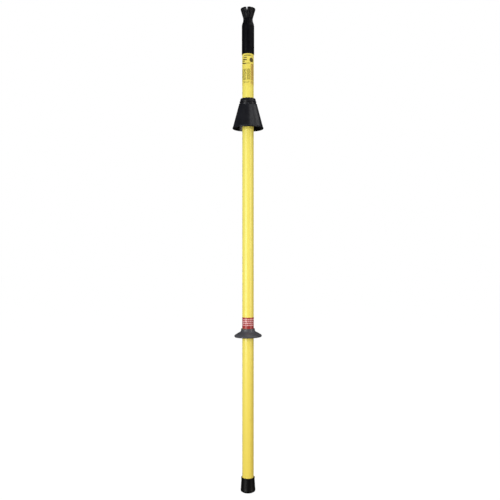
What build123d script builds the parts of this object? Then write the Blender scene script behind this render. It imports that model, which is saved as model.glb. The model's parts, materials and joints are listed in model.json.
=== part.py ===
"""Insulating operating pole with a bayonet coupling head, a rain cone, a hand guard and a rubber foot.

Millimetres. The origin is the centre of the foot's underside, +Z runs up the pole and -Y is the front.
"""

import os
from math import atan, cos, degrees, radians, sin, tan

from build123d import *

os.makedirs("parts", exist_ok=True)

# Pole tube
TUBE_RADIUS = 16.0
TUBE_WALL = 3.0
TUBE_BORE_RADIUS = TUBE_RADIUS - TUBE_WALL
GLUE_GAP = 0.05

# Stations up the pole
FOOT_TOP = 41.6
GUARD_BOTTOM = 433.6
GUARD_TOP = 457.0
BAND_HEIGHT = 31.7
CONE_BOTTOM = 1015.7
CONE_TOP = 1099.6
LABEL_BOTTOM = 1135.2
LABEL_TOP = 1221.7
HEAD_BOTTOM = 1223.2
TUBE_TOP = 1290.0
SHOULDER = 1301.5
NECK = 1322.3
RIM = 1352.0

# Rubber foot, with the washer that keeps the tube from cutting through it
FOOT_FLOOR = 6.0
FOOT_LIP_RADIUS = 18.4
FOOT_WIDEST_RADIUS = 20.7
FOOT_WIDEST_HEIGHT = 9.0
FOOT_TREAD_RADIUS = 15.5
FOOT_TOE_HEIGHT = 5.5
FOOT_LIP_HEIGHT = 2.6
FOOT_LIP_OVERHANG = 0.6
TREAD_GROOVE_RADII = (5.0, 9.0, 13.0)
TREAD_GROOVE_WIDTH = 1.4
TREAD_GROOVE_DEPTH = 1.2
FOOT_WASHER_RADIUS = TUBE_RADIUS - 0.4
WASHER_HOLE_RADIUS = 4.0
WASHER_THICKNESS = 1.5
TUBE_BOTTOM = FOOT_FLOOR + WASHER_THICKNESS

# End plugs and their O-rings
PLUG_RADIUS = TUBE_BORE_RADIUS - GLUE_GAP
BOTTOM_PLUG_LENGTH = 22.0
TOP_PLUG_LENGTH = 40.0
O_RING_WIRE_RADIUS = 1.0
O_RING_CLEARANCE = 0.02

# Hand guard
GUARD_RIM_RADIUS = 38.9
GUARD_RIM_THICKNESS = 5.0
GUARD_COLLAR_RADIUS = 19.0
GUARD_COLLAR_HEIGHT = 6.0
GUARD_COLLAR_FLARE = 0.8
GUARD_SWEEP_RADIUS = 29.0
GUARD_SWEEP_DROP = 6.6
GUARD_HUB_RADIUS = 20.5
GUARD_RECESS_DEPTH = 4.4

# Printed skins
BAND_THICKNESS = 0.25
LABEL_THICKNESS = 0.15
LABEL_WRAP_DEGREES = 320.0

# Rain cone
CONE_RIM_RADIUS = 43.5
CONE_WALL = 3.0
CONE_STEP = 1080.6
CONE_STEP_RADIUS = 26.2
COLLAR_TOP_RADIUS = 21.3
COLLAR_BEAD_RADIUS = 1.5
CLAMP_HEIGHT = 2.8
CLAMP_CENTRE = 1087.0
CLAMP_INNER_RADIUS = 20.6
CLAMP_OUTER_RADIUS = 22.6
CONE_SHOULDER_RADIUS = CONE_STEP_RADIUS - 2.0
CONE_HUB_DROP = 9.0
CONE_RIM_BEAD_RADIUS = 1.5

# Coupling head, outside
SLEEVE_RADIUS = 17.35
SLEEVE_CHAMFER = 0.5
NECK_RADIUS = 13.25
FLARE_RADIUS = 20.6
LIP_HEIGHT = 4.2
LIP_STEP = 0.8
LIP_ROUND = 1.0
NECK_UPPER_ARC = 13.0
FLARE_DEGREES = 16.4
FLUTES = 14
FLUTE_RADIUS = 1.9
FLUTE_DEPTH = 0.9
NOTCH_WIDTH = 4.0
NOTCH_DEPTH = 10.5
NOTCH_TURN = -9.0

# Coupling head, inside
SOCKET_RADIUS = 8.25
SOCKET_TOP = 1340.0
MOUTH_RADIUS = 17.2
KEYWAY_WIDTH = 4.4
KEYWAY_RADIUS = 10.3
TURN_GROOVE_TOP = 1318.0
TURN_GROOVE_HEIGHT = 5.0
POCKET_HEIGHT = 4.0
GUIDE_BOTTOM = 1296.0
SPRING_CHAMBER_RADIUS = 10.0
DRAIN_RADIUS = 1.5
DRAIN_HEIGHT = 1326.5
DRAIN_TURN = 7.0

# Spring-loaded plunger
RUNNING_FIT = 0.05
PLUNGER_RADIUS = SOCKET_RADIUS - RUNNING_FIT
PLUNGER_CHAMFER = 1.0
PLUNGER_NOSE_LENGTH = 4.0
WIPER_WIRE_RADIUS = 0.8
WIPER_STATION = 12.5
FLANGE_RADIUS = 9.6
FLANGE_THICKNESS = 3.0
STOP_GAP = 0.3
SPRING_FLOOR = 1263.0
SEAT_WASHER_THICKNESS = 1.0
SPRING_RADIUS = 7.6
SPRING_WIRE_RADIUS = 0.7
SPRING_COILS = 7

# Cross pin through head, tube and plug
CROSS_PIN_RADIUS = 2.5
CROSS_PIN_HEIGHT = 1255.5


def finish(piece, name):
    """Label a finished piece and write its STEP file."""
    piece.part.label = name
    export_step(piece.part, f"parts/{name}.step")


def ring_section(low, high, outer, inner):
    """Draw the half section of a plain ring between two heights, for a turn about Z."""
    with Locations(((inner + outer) / 2, (low + high) / 2)):
        Rectangle(outer - inner, high - low)


# ---------------------------------------------------------------- pole tube and its filling

with BuildPart() as pole_tube:
    with BuildSketch(Plane.XY.offset(TUBE_BOTTOM)):
        Circle(TUBE_RADIUS)
        Circle(TUBE_BORE_RADIUS, mode=Mode.SUBTRACT)
    extrude(amount=TUBE_TOP - TUBE_BOTTOM)
    with Locations(Plane.YZ):
        with Locations((0, CROSS_PIN_HEIGHT)):
            Hole(CROSS_PIN_RADIUS + GLUE_GAP)
finish(pole_tube, "pole_tube")

foam_bottom = TUBE_BOTTOM + BOTTOM_PLUG_LENGTH
foam_top = TUBE_TOP - TOP_PLUG_LENGTH
with BuildPart() as foam_core:
    with BuildSketch(Plane.XY.offset(foam_bottom)):
        Circle(TUBE_BORE_RADIUS - GLUE_GAP)
    extrude(amount=foam_top - foam_bottom)
finish(foam_core, "foam_core")


# ---------------------------------------------------------------- end plugs and O-rings

o_ring_centre_radius = TUBE_BORE_RADIUS - O_RING_CLEARANCE - O_RING_WIRE_RADIUS
groove_radius = o_ring_centre_radius - O_RING_WIRE_RADIUS - O_RING_CLEARANCE
groove_half_width = O_RING_WIRE_RADIUS + 0.15
bottom_seal_height = TUBE_BOTTOM + 0.6 * BOTTOM_PLUG_LENGTH
top_seal_height = SPRING_FLOOR - 3.0


def o_ring(height, centre_radius, wire_radius):
    """A toroidal seal lying level at one height."""
    with BuildPart() as seal:
        with BuildSketch(Plane.XZ):
            with Locations((centre_radius, height)):
                Circle(wire_radius)
        revolve(axis=Axis.Z)
    return seal


def seal_groove_section(height):
    """Draw the half section of an end plug's O-ring groove, a little proud of the plug."""
    ring_section(height - groove_half_width, height + groove_half_width, PLUG_RADIUS + 1, groove_radius)


with BuildPart() as bottom_plug:
    with BuildSketch(Plane.XY.offset(TUBE_BOTTOM)):
        Circle(PLUG_RADIUS)
    extrude(amount=BOTTOM_PLUG_LENGTH)
    chamfer(bottom_plug.edges().filter_by(GeomType.CIRCLE), length=0.6)
    with BuildSketch(Plane.XZ):
        seal_groove_section(bottom_seal_height)
    revolve(axis=Axis.Z, mode=Mode.SUBTRACT)
finish(bottom_plug, "bottom_plug")

with BuildPart() as top_plug:
    with BuildSketch(Plane.XY.offset(foam_top)):
        Circle(PLUG_RADIUS)
    extrude(amount=TOP_PLUG_LENGTH)
    chamfer(top_plug.edges().filter_by(GeomType.CIRCLE), length=0.6)
    with BuildSketch(Plane.XY.offset(SPRING_FLOOR)):
        Circle(SPRING_CHAMBER_RADIUS)
    extrude(amount=TUBE_TOP - SPRING_FLOOR, mode=Mode.SUBTRACT)
    with BuildSketch(Plane.XZ):
        seal_groove_section(top_seal_height)
    revolve(axis=Axis.Z, mode=Mode.SUBTRACT)
    with Locations(Plane.YZ):
        with Locations((0, CROSS_PIN_HEIGHT)):
            Hole(CROSS_PIN_RADIUS + GLUE_GAP)
finish(top_plug, "top_plug")

finish(o_ring(bottom_seal_height, o_ring_centre_radius, O_RING_WIRE_RADIUS), "bottom_plug_seal")
finish(o_ring(top_seal_height, o_ring_centre_radius, O_RING_WIRE_RADIUS), "top_plug_seal")


# ---------------------------------------------------------------- rubber foot

foot_bore_radius = TUBE_RADIUS + GLUE_GAP
foot_lip_radius = FOOT_LIP_RADIUS + FOOT_LIP_OVERHANG
foot_lip_base = FOOT_TOP - FOOT_LIP_HEIGHT
foot_lip_round = 0.8
ankle_draft = 0.15
with BuildPart() as foot_cap:
    with BuildSketch(Plane.XZ):
        with BuildLine():
            tread = Line((0, 0), (FOOT_TREAD_RADIUS, 0))
            toe = TangentArc(tread @ 1, (FOOT_WIDEST_RADIUS, FOOT_TOE_HEIGHT), tangent=tread % 1)
            ankle = Line(toe @ 1, (FOOT_WIDEST_RADIUS - ankle_draft, FOOT_WIDEST_HEIGHT))
            side = Line(ankle @ 1, (foot_lip_radius - FOOT_LIP_OVERHANG, foot_lip_base - FOOT_LIP_OVERHANG))
            lip_out = Line(side @ 1, (foot_lip_radius, foot_lip_base))
            lip_side = Line(lip_out @ 1, (foot_lip_radius, FOOT_TOP - foot_lip_round))
            lip_top = RadiusArc(lip_side @ 1, (foot_lip_radius - foot_lip_round, FOOT_TOP), -foot_lip_round)
            mouth = Polyline(
                lip_top @ 1,
                (foot_bore_radius, FOOT_TOP),
                (foot_bore_radius, FOOT_FLOOR),
                (0, FOOT_FLOOR),
                (0, 0),
            )
        make_face()
    revolve(axis=Axis.Z)
    for groove in TREAD_GROOVE_RADII:
        with BuildSketch(Plane.XY):
            Circle(groove + TREAD_GROOVE_WIDTH / 2)
            Circle(groove - TREAD_GROOVE_WIDTH / 2, mode=Mode.SUBTRACT)
        extrude(amount=TREAD_GROOVE_DEPTH, mode=Mode.SUBTRACT)
finish(foot_cap, "foot_cap")

with BuildPart() as foot_washer:
    with BuildSketch(Plane.XY.offset(FOOT_FLOOR)):
        Circle(FOOT_WASHER_RADIUS)
        Circle(WASHER_HOLE_RADIUS, mode=Mode.SUBTRACT)
    extrude(amount=WASHER_THICKNESS)
finish(foot_washer, "foot_washer")


# ---------------------------------------------------------------- hand guard and limit mark

guard_bore_radius = TUBE_RADIUS + GLUE_GAP
guard_rim_top = GUARD_BOTTOM + GUARD_RIM_THICKNESS
collar_foot = GUARD_TOP - GUARD_COLLAR_HEIGHT
collar_round = 0.8
rim_round = 1.2
rim_crown = 1.6
brim_rise = 0.6
rim_foot = 4.0
recess_draft = 1.2
recess_rim_depth = 1.8
hub_draft = 2.5
hub_face = GUARD_BOTTOM + 0.5
with BuildPart() as hand_guard:
    with BuildSketch(Plane.XZ):
        with BuildLine():
            collar_top = Line((guard_bore_radius, GUARD_TOP), (GUARD_COLLAR_RADIUS - collar_round, GUARD_TOP))
            collar_side = (GUARD_COLLAR_RADIUS, GUARD_TOP - collar_round)
            collar_edge = RadiusArc(collar_top @ 1, collar_side, collar_round)
            collar = Line(collar_edge @ 1, (GUARD_COLLAR_RADIUS + GUARD_COLLAR_FLARE, collar_foot))
            sweep_end = (GUARD_SWEEP_RADIUS, collar_foot - GUARD_SWEEP_DROP)
            sweep_out = TangentArc(collar @ 1, sweep_end, tangent=collar % 1)
            brim = Line(sweep_out @ 1, (GUARD_RIM_RADIUS - rim_crown, guard_rim_top + brim_rise))
            bead = TangentArc(brim @ 1, (GUARD_RIM_RADIUS, guard_rim_top - rim_crown), tangent=brim % 1)
            rim = Line(bead @ 1, (GUARD_RIM_RADIUS, GUARD_BOTTOM + rim_round))
            rim_edge = RadiusArc(rim @ 1, (GUARD_RIM_RADIUS - rim_round, GUARD_BOTTOM), rim_round)
            underside = Polyline(
                rim_edge @ 1,
                (GUARD_RIM_RADIUS - rim_foot, GUARD_BOTTOM),
                (GUARD_RIM_RADIUS - rim_foot - recess_draft, GUARD_BOTTOM + recess_rim_depth),
                (GUARD_HUB_RADIUS + hub_draft, GUARD_BOTTOM + GUARD_RECESS_DEPTH),
                (GUARD_HUB_RADIUS, hub_face),
                (guard_bore_radius, hub_face),
                collar_top @ 0,
            )
        make_face()
    revolve(axis=Axis.Z)
finish(hand_guard, "hand_guard")

with BuildPart() as limit_mark_band:
    with BuildSketch(Plane.XZ):
        band_inner = TUBE_RADIUS + GLUE_GAP
        ring_section(GUARD_TOP, GUARD_TOP + BAND_HEIGHT, band_inner + BAND_THICKNESS, band_inner)
    revolve(axis=Axis.Z)
finish(limit_mark_band, "limit_mark_band")


# ---------------------------------------------------------------- rating label, open at the back

with BuildPart() as rating_label:
    with BuildSketch(Plane.XZ):
        label_inner = TUBE_RADIUS + GLUE_GAP
        ring_section(LABEL_BOTTOM, LABEL_TOP, label_inner + LABEL_THICKNESS, label_inner)
    revolve(axis=Axis.Z, revolution_arc=LABEL_WRAP_DEGREES)
label_turn = -90.0 - LABEL_WRAP_DEGREES / 2
rating_label.part = rating_label.part.rotate(Axis.Z, label_turn)
finish(rating_label, "rating_label")


# ---------------------------------------------------------------- rain cone and its clamp ring

cone_bore_radius = TUBE_RADIUS + GLUE_GAP
cone_angle = atan((CONE_RIM_RADIUS - CONE_STEP_RADIUS) / (CONE_STEP - CONE_BOTTOM))
wall_across = CONE_WALL / cos(cone_angle)
hub_bottom = CONE_STEP - CONE_HUB_DROP
hub_inner_radius = CONE_STEP_RADIUS + (CONE_STEP - hub_bottom) * tan(cone_angle) - wall_across
collar_draft = 0.8
clamp_land = 1.6
step_ease = 0.5
rim_chamfer = 0.6
clamp_low = CLAMP_CENTRE - CLAMP_HEIGHT / 2
clamp_high = CLAMP_CENTRE + CLAMP_HEIGHT / 2
with BuildPart() as rain_cone:
    with BuildSketch(Plane.XZ):
        with BuildLine():
            Polyline(
                (cone_bore_radius, CONE_TOP),
                (COLLAR_TOP_RADIUS, CONE_TOP),
                (COLLAR_TOP_RADIUS + collar_draft, clamp_high + clamp_land),
                (CLAMP_INNER_RADIUS, clamp_high),
                (CLAMP_INNER_RADIUS, clamp_low),
                (CONE_SHOULDER_RADIUS, clamp_low - clamp_land),
                (CONE_SHOULDER_RADIUS, CONE_STEP + step_ease),
                (CONE_STEP_RADIUS, CONE_STEP - step_ease),
                (CONE_RIM_RADIUS, CONE_BOTTOM + 1.0),
                (CONE_RIM_RADIUS - rim_chamfer, CONE_BOTTOM),
                (CONE_RIM_RADIUS - wall_across - rim_chamfer, CONE_BOTTOM),
                (hub_inner_radius, hub_bottom),
                (cone_bore_radius, hub_bottom),
                close=True,
            )
        make_face()
        with Locations((COLLAR_TOP_RADIUS + collar_draft, clamp_high + COLLAR_BEAD_RADIUS)):
            Circle(COLLAR_BEAD_RADIUS)
        with Locations((CONE_SHOULDER_RADIUS, clamp_low - COLLAR_BEAD_RADIUS)):
            Circle(COLLAR_BEAD_RADIUS)
        with Locations((CONE_RIM_RADIUS - CONE_RIM_BEAD_RADIUS, CONE_BOTTOM + CONE_RIM_BEAD_RADIUS)):
            Circle(CONE_RIM_BEAD_RADIUS)
    revolve(axis=Axis.Z)
finish(rain_cone, "rain_cone")

with BuildPart() as cone_clamp_ring:
    with BuildSketch(Plane.XZ):
        ring_section(clamp_low, clamp_high, CLAMP_OUTER_RADIUS, CLAMP_INNER_RADIUS)
    revolve(axis=Axis.Z)
    outer_edges = cone_clamp_ring.edges().filter_by(GeomType.CIRCLE).group_by(SortBy.RADIUS)[-1]
    fillet(outer_edges, radius=0.6)
finish(cone_clamp_ring, "cone_clamp_ring")


# ---------------------------------------------------------------- coupling head

flare_lip_base = RIM - LIP_HEIGHT
shoulder_drop = SLEEVE_RADIUS - NECK_RADIUS
shoulder_rise = NECK - SHOULDER
shoulder_turn = 2 * atan(shoulder_drop / shoulder_rise)
shoulder_arc = shoulder_rise / (2 * sin(shoulder_turn))


def head_outline():
    """The shoulder, neck and flare as tangent arcs and a line, from the sleeve up to the lip."""
    shoulder = JernArc((SLEEVE_RADIUS, SHOULDER), (0, 1), shoulder_arc, degrees(shoulder_turn))
    waist = JernArc(shoulder @ 1, shoulder % 1, shoulder_arc, -degrees(shoulder_turn))
    neck = JernArc(waist @ 1, waist % 1, NECK_UPPER_ARC, -FLARE_DEGREES)
    run = flare_lip_base - (neck @ 1).Y
    flare_end = ((neck @ 1).X + run * tan(radians(FLARE_DEGREES)), flare_lip_base)
    return shoulder, waist, neck, Line(neck @ 1, flare_end)


def along_head(turn, offset):
    """A vertical plane through the pole's axis, turned from +X and shifted sideways."""
    return Plane(origin=(0, 0, 0), x_dir=(cos(radians(turn)), sin(radians(turn)), 0),
                 z_dir=(sin(radians(turn)), -cos(radians(turn)), 0)).offset(offset)


flute_stand_off = FLUTE_RADIUS - FLUTE_DEPTH


def beside(line, share):
    """A point level with a share of an outline piece, standing off its surface by the flute's stand-off."""
    point = line @ share
    tangent = line % share
    return point.X + flute_stand_off * tangent.Y, point.Y - flute_stand_off * tangent.X


with BuildPart() as flute:
    with BuildLine(mode=Mode.PRIVATE):
        shoulder, waist, neck, flare = head_outline()
    flute_route = [(shoulder, 1), (waist, 0.5), (neck, 0), (neck, 1), (flare, 0.35), (flare, 0.7), (flare, 1)]
    flute_points = [beside(line, share) for line, share in flute_route]
    flute_start = (SLEEVE_RADIUS + FLUTE_RADIUS + 0.1, SHOULDER - 1.0)
    lip_overrun = 2 * LIP_HEIGHT
    flute_end = (flute_points[-1][0] + lip_overrun * sin(radians(FLARE_DEGREES)),
                 flute_points[-1][1] + lip_overrun * cos(radians(FLARE_DEGREES)))
    with BuildLine(Plane.XZ) as flute_path:
        Spline(flute_start, *flute_points, flute_end)
    with BuildSketch(Plane(origin=flute_path.line @ 0, z_dir=flute_path.line % 0)):
        Circle(FLUTE_RADIUS)
    sweep(path=flute_path.line)

with BuildPart() as coupling_head:
    with BuildSketch(Plane.XZ):
        with BuildLine():
            shoulder, waist, neck, flare = head_outline()
            lip_start = (FLARE_RADIUS, flare_lip_base + LIP_STEP)
            lip = Polyline(flare @ 1, lip_start, (FLARE_RADIUS, RIM - LIP_ROUND))
            lip_edge = RadiusArc(lip @ 1, (FLARE_RADIUS - LIP_ROUND, RIM), -LIP_ROUND)
            Polyline(
                lip_edge @ 1,
                (0, RIM),
                (0, HEAD_BOTTOM),
                (SLEEVE_RADIUS - SLEEVE_CHAMFER, HEAD_BOTTOM),
                (SLEEVE_RADIUS, HEAD_BOTTOM + SLEEVE_CHAMFER),
                shoulder @ 0,
            )
        make_face()
    revolve(axis=Axis.Z)
    with PolarLocations(0, FLUTES, start_angle=-90 + NOTCH_TURN + 180 / FLUTES):
        add(flute.part, mode=Mode.SUBTRACT)

    # skirt over the tube, spring chamber, plunger guide, turning groove and socket
    hollow = [
        (HEAD_BOTTOM, TUBE_TOP, TUBE_RADIUS + GLUE_GAP),
        (TUBE_TOP, GUIDE_BOTTOM, SPRING_CHAMBER_RADIUS),
        (GUIDE_BOTTOM, SOCKET_TOP, SOCKET_RADIUS),
        (TURN_GROOVE_TOP - TURN_GROOVE_HEIGHT, TURN_GROOVE_TOP, KEYWAY_RADIUS),
    ]
    for low, high, radius in hollow:
        with BuildSketch(Plane.XY.offset(low)):
            Circle(radius)
        extrude(amount=high - low, mode=Mode.SUBTRACT)

    # funnel mouth
    with BuildSketch(Plane.XZ):
        with BuildLine():
            Polyline((0, SOCKET_TOP), (SOCKET_RADIUS, SOCKET_TOP), (MOUTH_RADIUS, RIM), (0, RIM), close=True)
        make_face()
    revolve(axis=Axis.Z, mode=Mode.SUBTRACT)

    # keyways down to the turning groove, and the pockets above it a quarter turn on
    keyway_spans = [
        (NOTCH_TURN, TURN_GROOVE_TOP, RIM),
        (NOTCH_TURN + 90, TURN_GROOVE_TOP, TURN_GROOVE_TOP + POCKET_HEIGHT),
    ]
    for turn, low, high in keyway_spans:
        with BuildSketch(Plane.XY.offset(low)):
            with BuildSketch(mode=Mode.PRIVATE) as bar:
                Rectangle(KEYWAY_WIDTH, 2 * KEYWAY_RADIUS + 2, rotation=turn)
            Circle(KEYWAY_RADIUS)
            add(bar.sketch, mode=Mode.INTERSECT)
        extrude(amount=high - low, mode=Mode.SUBTRACT)

    # V notches in the rim that show where the keyways are
    with BuildSketch(along_head(NOTCH_TURN, 0)):
        with BuildLine():
            Polyline((-NOTCH_WIDTH / 2, RIM + 0.1), (0, RIM - NOTCH_DEPTH), (NOTCH_WIDTH / 2, RIM + 0.1),
                     close=True)
        make_face()
    extrude(amount=FLARE_RADIUS + 2, both=True, mode=Mode.SUBTRACT)

    # drain hole out of the socket
    with BuildSketch(along_head(DRAIN_TURN, 0)):
        with Locations((0, DRAIN_HEIGHT)):
            Circle(DRAIN_RADIUS)
    extrude(amount=FLARE_RADIUS, mode=Mode.SUBTRACT)

    with Locations(Plane.YZ):
        with Locations((0, CROSS_PIN_HEIGHT)):
            Hole(CROSS_PIN_RADIUS + GLUE_GAP)
finish(coupling_head, "coupling_head")

with BuildPart() as head_cross_pin:
    with BuildSketch(Plane.YZ):
        with Locations((0, CROSS_PIN_HEIGHT)):
            Circle(CROSS_PIN_RADIUS)
    extrude(amount=SLEEVE_RADIUS - 0.15, both=True)
    chamfer(head_cross_pin.edges().filter_by(GeomType.CIRCLE), length=0.4)
finish(head_cross_pin, "head_cross_pin")


# ---------------------------------------------------------------- plunger, wiper seal and spring

flange_top = GUIDE_BOTTOM - STOP_GAP
flange_bottom = flange_top - FLANGE_THICKNESS
wiper_height = GUIDE_BOTTOM + WIPER_STATION
wiper_centre_radius = SOCKET_RADIUS - O_RING_CLEARANCE - WIPER_WIRE_RADIUS
wiper_groove_radius = wiper_centre_radius - WIPER_WIRE_RADIUS - O_RING_CLEARANCE
wiper_groove_half_width = WIPER_WIRE_RADIUS + 0.15
nose_radius = SPRING_RADIUS - SPRING_WIRE_RADIUS - 0.4
nose_bottom = flange_bottom - PLUNGER_NOSE_LENGTH
with BuildPart() as plunger:
    with BuildSketch(Plane.XZ):
        with BuildLine():
            Polyline(
                (0, TURN_GROOVE_TOP),
                (PLUNGER_RADIUS - PLUNGER_CHAMFER, TURN_GROOVE_TOP),
                (PLUNGER_RADIUS, TURN_GROOVE_TOP - PLUNGER_CHAMFER),
                (PLUNGER_RADIUS, flange_top),
                (FLANGE_RADIUS, flange_top),
                (FLANGE_RADIUS, flange_bottom),
                (nose_radius, flange_bottom),
                (nose_radius - 0.6, nose_bottom),
                (0, nose_bottom),
                close=True,
            )
        make_face()
    revolve(axis=Axis.Z)
    with BuildSketch(Plane.XZ):
        ring_section(wiper_height - wiper_groove_half_width, wiper_height + wiper_groove_half_width,
                     PLUNGER_RADIUS + 1, wiper_groove_radius)
    revolve(axis=Axis.Z, mode=Mode.SUBTRACT)
finish(plunger, "plunger")

finish(o_ring(wiper_height, wiper_centre_radius, WIPER_WIRE_RADIUS), "plunger_wiper_seal")

with BuildPart() as spring_seat_washer:
    with BuildSketch(Plane.XY.offset(SPRING_FLOOR)):
        Circle(SPRING_CHAMBER_RADIUS - 0.3)
        Circle(WASHER_HOLE_RADIUS, mode=Mode.SUBTRACT)
    extrude(amount=SEAT_WASHER_THICKNESS)
finish(spring_seat_washer, "spring_seat_washer")

spring_bottom = SPRING_FLOOR + SEAT_WASHER_THICKNESS + SPRING_WIRE_RADIUS
spring_top = flange_bottom - STOP_GAP - SPRING_WIRE_RADIUS
spring_height = spring_top - spring_bottom
with BuildPart() as plunger_spring:
    with BuildLine(Plane.XY.offset(spring_bottom)) as coil:
        Helix(pitch=spring_height / SPRING_COILS, height=spring_height, radius=SPRING_RADIUS)
    with BuildSketch(Plane(origin=coil.line @ 0, z_dir=coil.line % 0)):
        Circle(SPRING_WIRE_RADIUS)
    sweep(is_frenet=True)
finish(plunger_spring, "plunger_spring")
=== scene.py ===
"""Insulating operating pole: visible surfaces, finishes, light and camera.

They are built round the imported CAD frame. Lengths are in millimetres until they become points,
where MM turns them into the frame's metres.
"""

import json
import math
import random

import bmesh
import bpy
from mathutils import Matrix, Vector


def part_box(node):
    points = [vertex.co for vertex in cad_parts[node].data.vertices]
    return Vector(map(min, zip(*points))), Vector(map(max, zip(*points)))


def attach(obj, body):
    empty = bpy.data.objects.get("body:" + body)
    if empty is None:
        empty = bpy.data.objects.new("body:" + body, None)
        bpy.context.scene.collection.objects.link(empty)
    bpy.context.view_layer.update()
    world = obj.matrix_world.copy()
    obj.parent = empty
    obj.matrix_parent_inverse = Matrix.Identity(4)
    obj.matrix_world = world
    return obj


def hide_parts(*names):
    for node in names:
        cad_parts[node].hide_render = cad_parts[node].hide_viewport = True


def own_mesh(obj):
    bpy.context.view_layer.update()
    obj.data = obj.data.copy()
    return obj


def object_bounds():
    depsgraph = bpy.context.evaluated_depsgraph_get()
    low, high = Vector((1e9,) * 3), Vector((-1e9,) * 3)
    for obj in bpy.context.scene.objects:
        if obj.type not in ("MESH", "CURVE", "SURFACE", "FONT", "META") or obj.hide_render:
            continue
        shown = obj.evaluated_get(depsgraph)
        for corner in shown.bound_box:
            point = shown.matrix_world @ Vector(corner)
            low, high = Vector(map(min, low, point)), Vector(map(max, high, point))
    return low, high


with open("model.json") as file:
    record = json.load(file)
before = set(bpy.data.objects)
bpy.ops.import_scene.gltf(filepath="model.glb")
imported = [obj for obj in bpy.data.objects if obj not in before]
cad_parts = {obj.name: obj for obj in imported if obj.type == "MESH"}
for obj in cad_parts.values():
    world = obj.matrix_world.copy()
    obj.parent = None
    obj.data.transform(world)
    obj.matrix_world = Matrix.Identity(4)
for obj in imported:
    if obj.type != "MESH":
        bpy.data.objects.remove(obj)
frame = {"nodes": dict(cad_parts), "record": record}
cad_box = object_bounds()
MM = 0.001
SHARP = math.radians(32)  # faces that meet at more than this keep a hard edge
FRONT = -math.pi / 2  # the side that faces the camera, as an angle round the pole
random.seed(11)


def span(node):
    """Lowest height, highest height and widest radius of a CAD node, in millimetres."""
    low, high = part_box(node)
    return low.z / MM, high.z / MM, high.x / MM


# ---------------- shapes turned about the pole's axis


def rounded(outline):
    """Points of a closed outline of (radius, height, corner radius).

    A corner is rounded where its radius isn't 0, unless the outline is nearly straight there.
    """
    points = []
    for index, (r, z, corner) in enumerate(outline):
        here = Vector((r, z))
        before = Vector(outline[index - 1][:2]) - here
        after = Vector(outline[(index + 1) % len(outline)][:2]) - here
        angle = before.angle(after)
        if corner == 0 or angle > math.radians(178):
            points.append(here)
            continue
        reach = min(corner / math.tan(angle / 2), 0.49 * before.length, 0.49 * after.length)
        radius = reach * math.tan(angle / 2)
        inward = (before.normalized() + after.normalized()).normalized()
        middle = here + inward * (radius / math.sin(angle / 2))
        start = here + before.normalized() * reach - middle
        turn = start.angle_signed(here + after.normalized() * reach - middle)
        steps = max(2, math.ceil(math.degrees(abs(turn)) / 12))
        for step in range(steps + 1):
            swing = -turn * step / steps
            points.append(middle + Vector((start.x * math.cos(swing) - start.y * math.sin(swing),
                                           start.x * math.sin(swing) + start.y * math.cos(swing))))
    return points


def mesh_object(name, points, faces):
    """Put an object made of points in metres and faces into the scene."""
    mesh = bpy.data.meshes.new(name)
    mesh.from_pydata(points, [], faces)
    piece = bpy.data.objects.new(name, mesh)
    bpy.context.scene.collection.objects.link(piece)
    return piece


def surface(name, points, faces, merge=True):
    """Make a closed surface that faces outward and is smooth between its sharp edges.

    Doubled points, such as those of an outline on the axis, are merged unless merge is off.
    """
    piece = mesh_object(name, points, faces)
    work = bmesh.new()
    work.from_mesh(piece.data)
    if merge:
        bmesh.ops.remove_doubles(work, verts=work.verts, dist=0.003 * MM)
        bmesh.ops.dissolve_degenerate(work, edges=work.edges, dist=0.002 * MM)
    bmesh.ops.recalc_face_normals(work, faces=work.faces)
    work.to_mesh(piece.data)
    work.free()
    piece.data.shade_smooth()
    piece.data.set_sharp_from_angle(angle=SHARP)
    return piece


def skin(name, angles, outlines):
    """Join closed outlines of (radius, height) points, one to each angle, into a closed skin."""
    rows = len(outlines[0])
    points = []
    for angle, outline in zip(angles, outlines):
        points += [(r * math.cos(angle) * MM, r * math.sin(angle) * MM, z * MM)
                   for r, z in outline]
    faces = []
    for column in range(len(angles)):
        first = column * rows
        beside = (column + 1) % len(angles) * rows
        for row in range(rows):
            above = (row + 1) % rows
            faces.append((first + row, beside + row, beside + above, first + above))
    return surface(name, points, faces)


def lathe(name, outline, columns=192):
    """Turn a closed outline of (radius, height, corner radius) about the axis."""
    turned = [(point.x, point.y) for point in rounded(outline)]
    angles = [2 * math.pi * column / columns for column in range(columns)]
    return skin(name, angles, [turned] * columns)


def wrap(name, patches, inner, outer):
    """Thin closed patches wrapped round the pole, between an inner and an outer radius.

    A patch is a list of columns, each (distance round from the front, lower edge, upper edge).
    """
    points = []
    faces = []
    for patch in patches:
        base = len(points)
        for along, low, high in patch:
            angle = FRONT + along / inner
            for radius, height in ((inner, low), (outer, low), (outer, high), (inner, high)):
                points.append((radius * math.cos(angle) * MM, radius * math.sin(angle) * MM,
                               height * MM))
        for column in range(len(patch) - 1):
            first = base + 4 * column
            for edge in range(4):
                following = (edge + 1) % 4
                faces.append((first + edge, first + 4 + edge,
                              first + 4 + following, first + following))
        last = base + 4 * (len(patch) - 1)
        faces.append((base, base + 1, base + 2, base + 3))
        faces.append((last + 3, last + 2, last + 1, last))
    return surface(name, points, faces, merge=False)


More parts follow.
